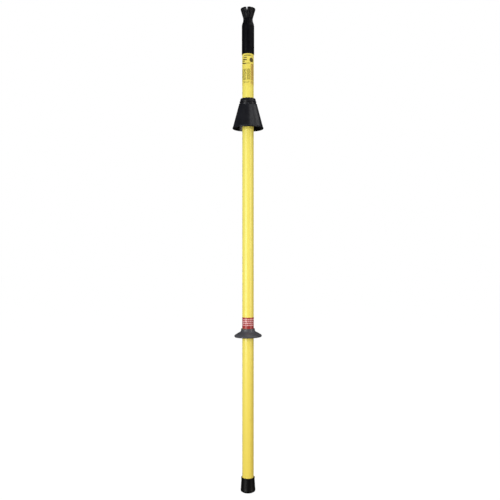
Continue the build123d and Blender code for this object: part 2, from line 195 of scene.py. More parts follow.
def drill(piece, along, height, radius, start, end):
    """Cut a round hole through one wall, from one distance off the axis to another."""
    direction = Vector((math.cos(along), math.sin(along), 0))
    across = Vector((-math.sin(along), math.cos(along), 0))
    up = Vector((0, 0, 1))
    facets = 48
    points = []
    for reach in (start, end):
        for facet in range(facets):
            swing = 2 * math.pi * facet / facets
            rim = across * math.cos(swing) + up * math.sin(swing)
            points.append((direction * reach + rim * radius + up * height) * MM)
    faces = [tuple(range(facets - 1, -1, -1)), tuple(range(facets, 2 * facets))]
    for facet in range(facets):
        beside = (facet + 1) % facets
        faces.append((facet, beside, facets + beside, facets + facet))
    cutter = mesh_object("drill", points, faces)
    cut = piece.modifiers.new("hole", "BOOLEAN")
    cut.operation = "DIFFERENCE"
    cut.solver = "EXACT"
    cut.object = cutter
    bpy.context.view_layer.update()
    result = piece.evaluated_get(bpy.context.evaluated_depsgraph_get())
    cut_mesh = bpy.data.meshes.new_from_object(result)
    piece.modifiers.remove(cut)
    piece.data = cut_mesh
    cut_mesh.set_sharp_from_angle(angle=SHARP)
    bpy.data.objects.remove(cutter)


# ---------------- finishes


class Finish:
    """A Principled material whose pattern lies in the object's own coordinates."""

    def __init__(self, name, roughness=0.5, specular=0.5, metallic=0.0):
        self.material = bpy.data.materials.new(name)
        self.material.use_nodes = True
        self.tree = self.material.node_tree
        self.shader = self.tree.nodes["Principled BSDF"]
        self.shader.inputs["Roughness"].default_value = roughness
        self.shader.inputs["Specular IOR Level"].default_value = specular
        self.shader.inputs["Metallic"].default_value = metallic
        self.place = self.add("ShaderNodeTexCoord").outputs["Object"]
        self.normal = None

    def add(self, kind, **settings):
        node = self.tree.nodes.new(kind)
        for key, value in settings.items():
            setattr(node, key, value)
        return node

    def join(self, output, socket):
        self.tree.links.new(output, socket)

    def stretched(self, scale):
        """The object's coordinates scaled along x, y and z."""
        mapping = self.add("ShaderNodeMapping")
        mapping.inputs["Scale"].default_value = scale
        self.join(self.place, mapping.inputs["Vector"])
        return mapping.outputs[0]

    def noise(self, scale, stretch=(1, 1, 1), detail=3.0, roughness=0.55):
        node = self.add("ShaderNodeTexNoise")
        node.inputs["Scale"].default_value = scale
        node.inputs["Detail"].default_value = detail
        node.inputs["Roughness"].default_value = roughness
        self.join(self.stretched(stretch), node.inputs["Vector"])
        return node.outputs[0]

    def cells(self, scale):
        node = self.add("ShaderNodeTexVoronoi")
        node.inputs["Scale"].default_value = scale
        self.join(self.place, node.inputs["Vector"])
        return node.outputs["Distance"]

    def height(self):
        """Height up the pole, in metres."""
        node = self.add("ShaderNodeSeparateXYZ")
        self.join(self.place, node.inputs[0])
        return node.outputs["Z"]

    def edges(self, low, high):
        """How convex the surface is, from 0 on flats to 1 on outside edges."""
        pointiness = self.add("ShaderNodeNewGeometry").outputs["Pointiness"]
        return self.ramp(pointiness, low, high, 0.0, 1.0)

    def ramp(self, value, low, high, start, end):
        """A value's span from low to high spread from start to end, and held beyond."""
        node = self.add("ShaderNodeMapRange")
        node.inputs["From Min"].default_value = low
        node.inputs["From Max"].default_value = high
        node.inputs["To Min"].default_value = start
        node.inputs["To Max"].default_value = end
        self.join(value, node.inputs["Value"])
        return node.outputs[0]

    def times(self, first, second):
        node = self.add("ShaderNodeMath", operation="MULTIPLY")
        self.join(first, node.inputs[0])
        self.join(second, node.inputs[1])
        return node.outputs[0]

    def mix(self, factor, first, second):
        """Two colours mixed; each is a colour or an earlier mix."""
        node = self.add("ShaderNodeMix", data_type="RGBA")
        self.join(factor, node.inputs[0])
        for socket, colour in ((node.inputs[6], first), (node.inputs[7], second)):
            if isinstance(colour, tuple):
                socket.default_value = (*colour, 1.0)
            else:
                self.join(colour, socket)
        return node.outputs[2]

    def colour(self, output):
        self.join(output, self.shader.inputs["Base Color"])

    def rough(self, output):
        self.join(output, self.shader.inputs["Roughness"])

    def bump(self, height, distance, strength=1.0):
        """Raise the surface by up to a distance in millimetres."""
        node = self.add("ShaderNodeBump")
        node.inputs["Strength"].default_value = strength
        node.inputs["Distance"].default_value = distance * MM
        self.join(height, node.inputs["Height"])
        if self.normal is not None:
            self.join(self.normal, node.inputs["Normal"])
        self.normal = node.outputs[0]
        self.join(self.normal, self.shader.inputs["Normal"])


GRAIN_SCALE = 2600  # noise scale of the mould's eroded surface


def moulded(name, dark, light, rough_low, rough_high, specular, grain=0.03, edge_wear_and_sheen=None,
            edge_wear_and_sheen_amount=0.5):
    """Moulded plastic or rubber.

    It has a clouded colour, patchy gloss, a fine spark-eroded grain and lighter outside edges:
    rubbed wear, and on the rain cone a painted highlight on the collar's beads.
    """
    finish = Finish(name, specular=specular)
    cloud = finish.ramp(finish.noise(45, detail=5), 0.35, 0.7, 0.0, 1.0)
    colour = finish.mix(cloud, dark, light)
    speck = finish.ramp(finish.noise(900, detail=2), 0.62, 0.78, 0.0, 0.35)
    colour = finish.mix(speck, colour, tuple(min(1.0, 2.2 * channel) for channel in light))
    # lighter colour on outside edges: rubbed wear, and on the rain cone a painted highlight that
    # lights its collar's beads
    if edge_wear_and_sheen is not None:
        outside_edges = finish.edges(0.52, 0.62)
        patches = finish.ramp(finish.noise(160, detail=4), 0.4, 0.65, 0.1, edge_wear_and_sheen_amount)
        worn_and_lit_edges = finish.times(outside_edges, patches)
        colour = finish.mix(worn_and_lit_edges, colour, edge_wear_and_sheen)
    finish.colour(colour)
    finish.rough(finish.ramp(finish.noise(130, detail=6), 0.3, 0.7, rough_low, rough_high))
    finish.bump(finish.noise(GRAIN_SCALE, detail=2), grain)
    finish.bump(finish.noise(240, detail=2), 0.05, 0.35)
    return finish


# painted shade: the yellow turns deeper and more orange towards the foot, standing in for light
# falling off there
FOOT_SHADE_YELLOW = (0.83, 0.655, 0.11)
FOOT_SHADE_FROM, FOOT_SHADE_TO = 0.72, 0.04  # metres up the pole, where the painted shade towards the foot starts and is full


def grp(name, pale, deep, grime):
    """Pultruded glass-fibre resin.

    It has faint fibre streaks along the pole, a slow colour drift, rubbing marks and a painted
    shade that deepens the yellow towards the foot.
    """
    finish = Finish(name, specular=0.42)
    fibres = finish.noise(620, stretch=(1, 1, 0.012), detail=4)
    streaks = finish.ramp(fibres, 0.36, 0.66, 0.0, 1.0)
    drift = finish.ramp(finish.noise(9, stretch=(1, 1, 0.7), detail=3), 0.3, 0.7, 0.0, 0.5)
    colour = finish.mix(streaks, pale, deep)
    colour = finish.mix(drift, colour, tuple(0.5 * (a + b) for a, b in zip(pale, deep)))
    # painted shade: deeper, more orange yellow towards the foot
    foot_shade = finish.ramp(finish.height(), FOOT_SHADE_FROM, FOOT_SHADE_TO, 0.0, 1.0)
    colour = finish.mix(foot_shade, colour, FOOT_SHADE_YELLOW)
    scuffs = finish.noise(70, stretch=(1, 1, 3.5), detail=8, roughness=0.7)
    rubs = finish.ramp(scuffs, 0.6, 0.74, 0.0, 0.22)
    colour = finish.mix(rubs, colour, grime)
    finish.colour(colour)
    gloss = finish.noise(110, stretch=(1, 1, 0.1), detail=5)
    finish.rough(finish.ramp(gloss, 0.3, 0.7, 0.3, 0.44))
    finish.bump(finish.noise(700, stretch=(1, 1, 0.01), detail=3), 0.03, 0.6)
    finish.bump(finish.noise(30, stretch=(1, 1, 0.2), detail=2), 0.08, 0.25)
    return finish


def metal(name, tone, rough_low, rough_high, stretch):
    """Plated or drawn steel with fine drawing lines and dull patches."""
    finish = Finish(name, metallic=1.0)
    patches = finish.ramp(finish.noise(220, detail=5), 0.35, 0.68, 0.0, 1.0)
    finish.colour(finish.mix(patches, tone, tuple(0.72 * channel for channel in tone)))
    lines = finish.noise(900, stretch=stretch, detail=4)
    finish.rough(finish.ramp(lines, 0.3, 0.7, rough_low, rough_high))
    finish.bump(finish.noise(2400, stretch=stretch, detail=2), 0.01, 0.5)
    return finish


YELLOW_PALE = (0.835, 0.735, 0.145)
YELLOW_DEEP = (0.785, 0.665, 0.105)
YELLOW_GRIME = (0.50, 0.37, 0.09)

# One finish to each material slot of the record. A moulded one is given its dark and light
# colour, its lowest and highest roughness and its specular level.
finishes = {
    "yellow_tube": grp("grp_yellow", YELLOW_PALE, YELLOW_DEEP, YELLOW_GRIME),
    "label_film": grp("label_film_yellow", (0.81, 0.69, 0.12), (0.775, 0.645, 0.1), YELLOW_GRIME),
    "foot_rubber": moulded(
        "foot_black_rubber", (0.0002, 0.0002, 0.0003), (0.0008, 0.0008, 0.0009),
        0.32, 0.38, 0.42, grain=0.012, edge_wear_and_sheen=(0.05, 0.05, 0.052)),
    "guard_rubber": moulded(
        "guard_grey_rubber", (0.05, 0.05, 0.059), (0.073, 0.073, 0.085),
        0.3, 0.46, 0.45, edge_wear_and_sheen=(0.2, 0.2, 0.215)),
    # the cone's lighter outside edges are a painted highlight on its collar's beads
    "cone_rubber": moulded(
        "cone_black_rubber", (0.006, 0.0065, 0.009), (0.011, 0.0115, 0.016),
        0.28, 0.38, 0.4, grain=0.015, edge_wear_and_sheen=(0.13, 0.135, 0.16), edge_wear_and_sheen_amount=0.95),
    "clamp_plastic": moulded(
        "clamp_black_plastic", (0.004, 0.004, 0.005), (0.010, 0.010, 0.011),
        0.3, 0.48, 0.35, grain=0.02, edge_wear_and_sheen=(0.05, 0.05, 0.055)),
    "head_plastic": moulded(
        "head_black_polyamide", (0.0015, 0.0015, 0.0025), (0.004, 0.004, 0.006),
        0.27, 0.35, 0.15, grain=0.012, edge_wear_and_sheen=(0.055, 0.055, 0.062)),
    "pin_plastic": moulded(
        "pin_black_polyamide", (0.014, 0.014, 0.016), (0.026, 0.026, 0.028),
        0.4, 0.56, 0.4, grain=0.02),
    "grey_plastic": moulded(
        "plug_grey_polyamide", (0.24, 0.25, 0.265), (0.36, 0.37, 0.39),
        0.42, 0.6, 0.45),
    "seal_rubber": moulded(
        "seal_nitrile", (0.010, 0.010, 0.010), (0.022, 0.022, 0.022),
        0.2, 0.4, 0.5, grain=0.008),
    "plunger_plastic": moulded(
        "plunger_acetal", (0.045, 0.045, 0.05), (0.085, 0.085, 0.092),
        0.28, 0.42, 0.45, grain=0.01),
    "steel": metal("zinc_plated_steel", (0.66, 0.66, 0.68), 0.22, 0.42, (1, 1, 1)),
    "spring_steel": metal("stainless_wire", (0.7, 0.7, 0.72), 0.14, 0.3, (0.2, 0.2, 1)),
}

foam = Finish("polyurethane_foam", roughness=0.9, specular=0.2)
pores = foam.cells(900)
foam.colour(foam.mix(foam.ramp(pores, 0.1, 0.6, 0.0, 1.0), (0.56, 0.46, 0.28), (0.86, 0.78, 0.56)))
foam.rough(foam.ramp(foam.noise(200), 0.3, 0.7, 0.8, 0.98))
foam.bump(pores, 0.3)
finishes["foam"] = foam

tape = Finish("red_tape_film", specular=0.45)
tape_cloud = tape.ramp(tape.noise(60, stretch=(1, 1, 3), detail=5), 0.35, 0.7, 0.0, 1.0)
tape_colour = tape.mix(tape_cloud, (0.27, 0.018, 0.016), (0.38, 0.038, 0.036))
tape_scuffs = tape.noise(240, stretch=(1, 1, 2.5), detail=7, roughness=0.7)
tape_rub = tape.ramp(tape_scuffs, 0.6, 0.76, 0.0, 0.4)
tape.colour(tape.mix(tape_rub, tape_colour, (0.5, 0.16, 0.15)))
tape.rough(tape.ramp(tape.noise(150, detail=4), 0.3, 0.7, 0.28, 0.46))
tape.bump(tape.noise(90, stretch=(1, 1, 4), detail=3), 0.06, 0.4)
finishes["red_tape"] = tape


def ink(name, tone, worn):
    """Screen-printed ink, slightly broken where the film has been rubbed."""
    finish = Finish(name, specular=0.4)
    broken = finish.ramp(finish.noise(520, detail=6, roughness=0.7), 0.56, 0.74, 0.0, 0.6)
    finish.colour(finish.mix(broken, tone, worn))
    finish.rough(finish.ramp(finish.noise(180, detail=3), 0.3, 0.7, 0.34, 0.5))
    finish.bump(finish.noise(1500, detail=2), 0.01, 0.5)
    return finish


dark_ink = ink("print_dark", (0.08, 0.06, 0.007), (0.42, 0.33, 0.07))
brown_ink = ink("print_brown", (0.30, 0.10, 0.035), (0.55, 0.34, 0.10))
pale_ink = ink("print_pale", (0.70, 0.38, 0.39), (0.42, 0.10, 0.10))


def dress(piece, finish):
    """Give a piece one finish all over."""
    piece.data.materials.clear()
    piece.data.materials.append(finish.material)


def place(piece, node, body="pole"):
    """Let a piece ride on its body with its record slot's finish, standing for its CAD node."""
    slot_name = next(part["material_slot"] for part in frame["record"]["subparts"]
                     if part["node"] == node)
    dress(piece, finishes[slot_name])
    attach(piece, body)
    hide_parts(node)


# the CAD nodes that no skin stands for are seen as they are, with their slot's finish
for part in frame["record"]["subparts"]:
    node_object = frame["nodes"][part["node"]]
    for material_slot in node_object.material_slots:
        material_slot.link = "OBJECT"
        material_slot.material = finishes[part["material_slot"]].material


# ---------------- pole tube

TUBE_WALL = 3.0
HOLE_PLAY = 0.05  # room round the cross pin in its holes
OVERCUT = 1.5  # how far a drill runs past the tube's wall

tube_low, tube_high, tube_radius = span("pole_tube")
tube_bore = tube_radius - TUBE_WALL
tube = lathe("pole_tube_skin", [
    (tube_bore, tube_low, 0.3),
    (tube_radius, tube_low, 0.5),
    (tube_radius, tube_high, 0.5),
    (tube_bore, tube_high, 0.3),
], columns=256)
pin_low, pin_high, _ = span("head_cross_pin")
pin_height = (pin_low + pin_high) / 2
pin_hole = (pin_high - pin_low) / 2 + HOLE_PLAY
for side in (0.0, math.pi):
    drill(tube, side, pin_height, pin_hole, tube_bore - OVERCUT, tube_radius + OVERCUT)
place(tube, "pole_tube")


# ---------------- rubber foot

SOLE = 0.01  # height of the lowest surface, just inside the CAD box
SOLE_EDGE = 15.5
TREAD_GROOVES = (13.0, 9.0, 5.0)  # radii of the grooves under the foot
GROOVE_DEPTH = 1.2
CUP_FLOOR = 6.0  # height of the tube's seat in the foot

_, foot_top, foot_widest = span("foot_cap")
foot_side = foot_widest - 0.05
bore = tube_radius + 0.04  # inside radius of what is pushed over the tube
tread = [(SOLE_EDGE, SOLE, 3.0)]
for groove in TREAD_GROOVES:
    tread += [
        (groove + 0.7, SOLE, 0.15),
        (groove + 0.55, GROOVE_DEPTH, 0.2),
        (groove - 0.55, GROOVE_DEPTH, 0.2),
        (groove - 0.7, SOLE, 0.15),
    ]
foot = lathe("foot_cap_skin", [
    (0.0, SOLE, 0),
    *reversed(tread),
    (20.0, 2.9, 2.4),
    (foot_side, 5.6, 0.8),
    (foot_side, 8.3, 0.35),
    (foot_widest - 0.4, 8.8, 0.35),
    (20.2, 11.0, 1.0),
    (18.5, foot_top - 3.3, 0.5),
    (19.0, foot_top - 2.7, 0.3),
    (18.95, foot_top - 0.7, 0.5),
    (18.3, foot_top, 0.5),
    (bore + 0.5, foot_top, 0.3),
    (bore, foot_top - 0.6, 0.3),
    (bore, CUP_FLOOR, 0.5),
    (0.0, CUP_FLOOR, 0),
], columns=224)
place(foot, "foot_cap")


# ---------------- hand guard

GUARD_TILT = math.radians(-1.0)  # it sits a little askew in the photo

guard_low, guard_top, guard_radius = span("hand_guard")
guard = lathe("hand_guard_skin", [
    (bore, guard_low + 0.5, 0.3),
    (20.4, guard_low + 0.5, 0.6),
    (22.9, guard_low + 4.3, 1.5),
    (33.6, guard_low + 1.9, 0.8),
    (34.8, guard_low, 0.6),
    (guard_radius - 1.5, guard_low, 1.2),
    (guard_radius - 0.05, guard_low + 3.6, 1.5),
    (guard_radius - 1.8, guard_low + 5.5, 1.2),
    (29.0, guard_top - 12.6, 14.0),
    (22.4, guard_top - 9.4, 5.0),
    (19.85, guard_top - 6.4, 2.5),
    (19.1, guard_top - 3.4, 0.5),
    (19.35, guard_top - 2.9, 0.4),
    (19.25, guard_top - 1.1, 0.8),
    (18.4, guard_top, 0.6),
    (bore + 0.4, guard_top, 0.25),
    (bore, guard_top - 0.5, 0.25),
], columns=224)
guard_middle = Vector((0, 0, (guard_low + guard_top) / 2 * MM))
guard.data.transform(Matrix.Translation(guard_middle)
                     @ Matrix.Rotation(GUARD_TILT, 4, "Y")
                     @ Matrix.Translation(-guard_middle))
place(guard, "hand_guard")


# ---------------- limit mark band and its rows of dashes

band_low, band_high, band_radius = span("limit_mark_band")
band = lathe("limit_mark_band_skin", [
    (tube_radius + 0.02, band_low, 0),
    (band_radius, band_low, 0.08),
    (band_radius, band_high, 0.08),
    (tube_radius + 0.02, band_high, 0),
], columns=224)
place(band, "limit_mark_band")


def dash(start, end, low, high, lean=0.0, corner=0.3):
    """Columns of a level or leaning bar with rounded ends."""
    steps = max(3, math.ceil((end - start) / 1.2))
    columns = []
    for step in range(steps + 1):
        along = start + (end - start) * step / steps
        inset = min(along - start, end - along)
        trim = corner - math.sqrt(max(0.0, corner ** 2 - (corner - min(inset, corner)) ** 2))
        rise = lean * (along - start)
        columns.append((along, low + trim * 0.8 + rise, high - trim * 0.8 + rise))
    return columns


def dashes(start, end, low, high, shortest, longest, gap):
    """A row of word-like bars of uneven length."""
    row = []
    along = start
    while along < end - shortest:
        length = min(random.uniform(shortest, longest), end - along)
        row.append(dash(along, along + length, low, high, corner=min(0.3, (high - low) / 3)))
        along += length + gap
    return row


ROW_HEIGHTS = (26.1, 20.9, 15.6, 10.1)  # middles of the printed rows above the band's lower edge
ROW_HALF = 1.35

half_band = math.pi * band_radius
band_rows = []
for row_height in ROW_HEIGHTS:
    middle = band_low + row_height
    band_rows += dashes(-half_band + 1.0, half_band - 0.4, middle - ROW_HALF, middle + ROW_HALF,
                        shortest=2.2, longest=6.5, gap=0.9)
band_print = wrap("limit_mark_print", band_rows, band_radius - 0.05, band_radius + 0.03)
dress(band_print, pale_ink)
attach(band_print, "pole")


# ---------------- rating label and its plain bars

FILM_CORNER = 3.0
CORNER_STEPS = 8
FILM_STEPS = 150
LINE_PITCH = 2.05  # small print, from one line to the next
TICK_PITCH = 1.9  # the narrow list at the right

label_low, label_high, label_radius = span("rating_label")
half_wrap = math.radians(160) * tube_radius
film = []
for step in range(CORNER_STEPS + 1):
    inset = FILM_CORNER * (1 - math.cos(math.pi / 2 * step / CORNER_STEPS))
    trim = FILM_CORNER * (1 - math.sin(math.pi / 2 * step / CORNER_STEPS))
    film.append((-half_wrap + inset, label_low + trim, label_high - trim))
straight = 2 * (half_wrap - FILM_CORNER)
film += [(-half_wrap + FILM_CORNER + straight * step / FILM_STEPS, label_low, label_high)
         for step in range(1, FILM_STEPS)]
film += [(-along, low, high) for along, low, high in reversed(film[:CORNER_STEPS + 1])]
label = wrap("rating_label_skin", [film], tube_radius + 0.01, label_radius)
place(label, "rating_label")

# marks: from and to along the label, round from the front, then lower and upper edge
disc_along, disc_height, disc_radius = 10.5, label_high - 16.3, 6.3
disc = []
for step in range(33):
    swing = math.pi * step / 32
    half = max(disc_radius * math.sin(swing), 0.02)
    along = disc_along - disc_radius * math.cos(swing)
    disc.append((along, disc_height - half, disc_height + half))
bold_marks = [
    dash(-11.5, 9.5, label_high - 4.9, label_high - 2.7),
    dash(-14.5, -3.0, label_high - 9.9, label_high - 7.2, lean=-0.15),
    dash(-16.5, -2.8, label_high - 15.6, label_high - 12.7, lean=-0.16),
    dash(-21.0, -9.5, label_high - 18.6, label_high - 16.4, lean=-0.22),
    dash(-21.5, -5.8, label_high - 25.0, label_high - 21.8, lean=-0.2),
    dash(-5.2, 5.5, label_high - 26.4, label_high - 25.0),
    disc,
]
column_ends = ((-21.5, -4.9), (-3.7, 7.6))
for line in range(15):
    line_high = label_high - 41.4 - LINE_PITCH * line
    for start, end in column_ends:
        bold_marks += dashes(start, end - random.uniform(0.0, 1.4), line_high - 1.2, line_high,
                             shortest=1.4, longest=4.6, gap=0.45)
for line in range(3):
    line_high = label_high - 75.4 - LINE_PITCH * line
    bold_marks += dashes(-18.0, 6.0 - 2.0 * line, line_high - 1.0, line_high,
                         shortest=1.0, longest=3.6, gap=0.8)
label_print = wrap("rating_label_print", bold_marks, label_radius - 0.04, label_radius + 0.02)
dress(label_print, dark_ink)
brown_marks = []
for line in range(24):
    line_high = label_high - 27.4 - TICK_PITCH * line
    brown_marks.append(dash(8.2, 11.4, line_high - 1.3, line_high))
    brown_marks.append(dash(12.2, 18.0, line_high - 1.3, line_high))
for line in range(5):
    line_high = label_high - 75.0 - TICK_PITCH * line
    brown_marks += dashes(8.0, 18.5, line_high - 1.1, line_high,
                          shortest=1.2, longest=3.6, gap=0.6)
label_note = wrap("rating_label_note", brown_marks, label_radius - 0.04, label_radius + 0.02)
dress(label_note, brown_ink)
for piece in (label_print, label_note):
    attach(piece, "pole")


# ---------------- rain cone and clamp ring

cone_low, cone_top, cone_radius = span("rain_cone")
clamp_low, clamp_high, clamp_radius = span("cone_clamp_ring")
cone_step = clamp_low - 5.0  # where the collar meets the skirt
hub_low = cone_step - 9.0
cone = lathe("rain_cone_skin", [
    (bore, cone_top - 0.4, 0.25),
    (bore + 0.4, cone_top, 0.25),
    (20.6, cone_top, 0.8),
    (21.5, cone_top - 1.4, 0.6),
    (21.9, clamp_high + 4.2, 0.8),
    (23.5, clamp_high + 3.2, 0.9),
    (23.6, clamp_high + 0.9, 1.0),
    (22.0, clamp_high, 0.5),
    (20.6, clamp_high - 0.1, 0.2),
    (20.6, clamp_low + 0.1, 0.2),
    (22.6, clamp_low, 0.5),
    (25.5, clamp_low - 0.6, 1.0),
    (25.5, clamp_low - 2.6, 1.1),
    (24.2, clamp_low - 3.6, 0.7),
    (24.2, cone_step + 0.9, 0.7),
    (26.0, cone_step, 0.9),
    (26.4, cone_step - 1.0, 1.0),
    (42.2, cone_low + 4.6, 0.6),
    (cone_radius - 0.3, cone_low + 3.8, 0.8),
    (cone_radius - 0.03, cone_low + 1.0, 0.9),
    (cone_radius - 1.2, cone_low, 0.8),
    (cone_radius - 3.2, cone_low, 0.7),
    (23.8, cone_step - 6.0, 3.0),
    (21.0, cone_step - 5.0, 1.5),
    (20.2, hub_low, 1.0),
    (bore, hub_low, 0.3),
], columns=256)
place(cone, "rain_cone")

clamp_rim = clamp_radius - 0.02
clamp_hollow = clamp_radius - 0.35
clamp = lathe("cone_clamp_skin", [
    (20.65, clamp_low + 0.05, 0.1),
    (clamp_rim, clamp_low + 0.05, 0.5),
    (clamp_rim, clamp_low + 0.9, 0.15),
    (clamp_hollow, clamp_low + 1.1, 0.15),
    (clamp_hollow, clamp_high - 1.1, 0.15),
    (clamp_rim, clamp_high - 0.9, 0.15),
    (clamp_rim, clamp_high - 0.05, 0.5),
    (20.65, clamp_high - 0.05, 0.1),
])
place(clamp, "cone_clamp_ring")


# ---------------- coupling head

head_low, rim, lip_radius = span("coupling_head")
SLEEVE = 17.35  # outside radius over the tube
SLEEVE_CHAMFER = 0.5
NECK = 13.25
SHOULDER_Z = 1301.5
NECK_Z = 1322.3
UPPER_ARC = 13.0
FLARE = math.radians(16.4)
LIP_BASE = rim - 4.2
LIP_STEP = 0.8
LIP_ROUND = 1.0
NOTCH_AT = math.radians(-9.0)  # from the front
NOTCH_WIDTH = 4.0
NOTCH_DEPTH = 10.5
FLUTES = 14
FLUTE_DEPTH = 1.2
FLUTE_START, FLUTE_FULL = 1301.0, 1311.5
FLUTE_CUTTER = 1.9  # radius of each hollow
FLUTE_EASE = 0.3  # softens the hollow's edges
CREST_EASE = 0.25  # how far the rim's inner edge is set back
SOCKET = 8.25  # inside radius for the tool's shank
SOCKET_TOP = 1340.0  # above this the mouth widens
MOUTH = 17.2  # inside radius at the rim
KEYWAY_REACH = 10.3  # the slot that lets the tool's cross pin in, from the axis
KEYWAY_HALF = 2.2
KEYWAY_FLOOR = 1322.0  # below it a second slot crosses the first, for the pin to rest in
POCKET_FLOOR = 1318.0
PASSAGE_FLOOR = 1313.0  # below it the plunger's guide begins
GUIDE_FOOT = 1296.0
CAVITY = 10.0  # room for the plunger's flange
CAVITY_FOOT = 1290.0
DRAIN_AT = math.radians(-83.0)
DRAIN_Z, DRAIN_RADIUS = 1326.5, 1.5

drop = SLEEVE - NECK
rise = NECK_Z - SHOULDER_Z
shoulder_turn = 2 * math.atan(drop / rise)
shoulder_arc = rise / (2 * math.sin(shoulder_turn))
arc_end_r = NECK + UPPER_ARC * (1 - math.cos(FLARE))
arc_end_z = NECK_Z + UPPER_ARC * math.sin(FLARE)
lip_corner = arc_end_r + (LIP_BASE - arc_end_z) * math.tan(FLARE)


def body_radius(z):
    """Outside radius of the head without flutes, notches or holes."""
    if z < head_low + SLEEVE_CHAMFER:
        return SLEEVE - SLEEVE_CHAMFER + (z - head_low)
    if z <= SHOULDER_Z:
        return SLEEVE
    if z <= SHOULDER_Z + rise / 2:
        return SLEEVE - shoulder_arc + math.sqrt(shoulder_arc ** 2 - (z - SHOULDER_Z) ** 2)
    if z <= NECK_Z:
        return NECK + shoulder_arc - math.sqrt(shoulder_arc ** 2 - (NECK_Z - z) ** 2)
    if z <= arc_end_z:
        return NECK + UPPER_ARC - math.sqrt(UPPER_ARC ** 2 - (z - NECK_Z) ** 2)
    if z <= LIP_BASE:
        return arc_end_r + (z - arc_end_z) * math.tan(FLARE)
    if z <= LIP_BASE + LIP_STEP:
        return lip_corner + (lip_radius - lip_corner) * (z - LIP_BASE) / LIP_STEP
    if z <= rim - LIP_ROUND:
        return lip_radius
    return lip_radius - LIP_ROUND + math.sqrt(max(0.0, LIP_ROUND ** 2 - (z - rim + LIP_ROUND) ** 2))


def smooth(value, low, high):
    """0 below low, 1 above high and an even curve between."""
    share = min(1.0, max(0.0, (value - low) / (high - low)))
    return share * share * (3 - 2 * share)


def head_outside(z, angle):
    """Outside radius with the flutes cut in, their edges softened."""
    plain = body_radius(z)
    depth = FLUTE_DEPTH * smooth(z, FLUTE_START, FLUTE_FULL)
    if depth <= 0:
        return plain
    pitch = 2 * math.pi / FLUTES
    off = (angle - FRONT - NOTCH_AT) % pitch - pitch / 2
    across = plain * math.sin(abs(off))
    if across >= FLUTE_CUTTER + 0.4:
        return plain
    level = depth - FLUTE_CUTTER
    hollow = level + math.sqrt(max(0.0, FLUTE_CUTTER ** 2 - min(across, FLUTE_CUTTER) ** 2))
    cut = 0.5 * (hollow + math.sqrt(hollow ** 2 + FLUTE_EASE ** 2))
    cut -= 0.5 * (math.sqrt(level ** 2 + FLUTE_EASE ** 2) + level)
    return plain - max(0.0, cut)


def off_slot(angle, turn):
    """Angle between a direction and the nearer end of a slot that crosses the axis."""
    return abs((angle - FRONT - turn + math.pi / 2) % math.pi - math.pi / 2)


def slotted(radius, angle, turn):
    """Inside radius where a keyway's slot crosses the socket."""
    off = off_slot(angle, turn)
    edge = KEYWAY_REACH if off < 1e-6 else min(KEYWAY_REACH, KEYWAY_HALF / math.sin(off))
    return max(radius, edge)


def crest(radius, angle):
    """Height of the head's top at a place, lower in the two V notches."""
    off = off_slot(angle, NOTCH_AT)
    if off > math.radians(20):
        return rim
    slope = NOTCH_DEPTH / (NOTCH_WIDTH / 2)
    return min(rim, rim - NOTCH_DEPTH + radius * math.sin(off) * slope)


def inside_radius(z):
    """Inside radius of the socket and of the mouth that widens above it."""
    widening = (MOUTH - SOCKET) / (rim - SOCKET_TOP)
    return max(SOCKET, SOCKET + (z - SOCKET_TOP) * widening)


def heights(start, end, steps):
    """Evenly spaced heights after a first one, up to and with the last."""
    return [start + (end - start) * step / steps for step in range(1, steps + 1)]


sleeve_low = head_low + SLEEVE_CHAMFER
outside_rows = [head_low, head_low + 0.15, sleeve_low]
outside_rows += heights(sleeve_low, SHOULDER_Z, 10)
outside_rows += heights(SHOULDER_Z, arc_end_z, 48)
outside_rows += heights(arc_end_z, LIP_BASE, 40)
outside_rows += [LIP_BASE + LIP_STEP / 2, LIP_BASE + LIP_STEP]
outside_rows += [rim - below for below in (1.5, LIP_ROUND, 0.75, 0.5, 0.25, 0.1)]
inside_rows = [rim - CREST_EASE]
inside_rows += heights(rim - CREST_EASE, SOCKET_TOP, 30)
inside_rows += heights(SOCKET_TOP, KEYWAY_FLOOR, 10)


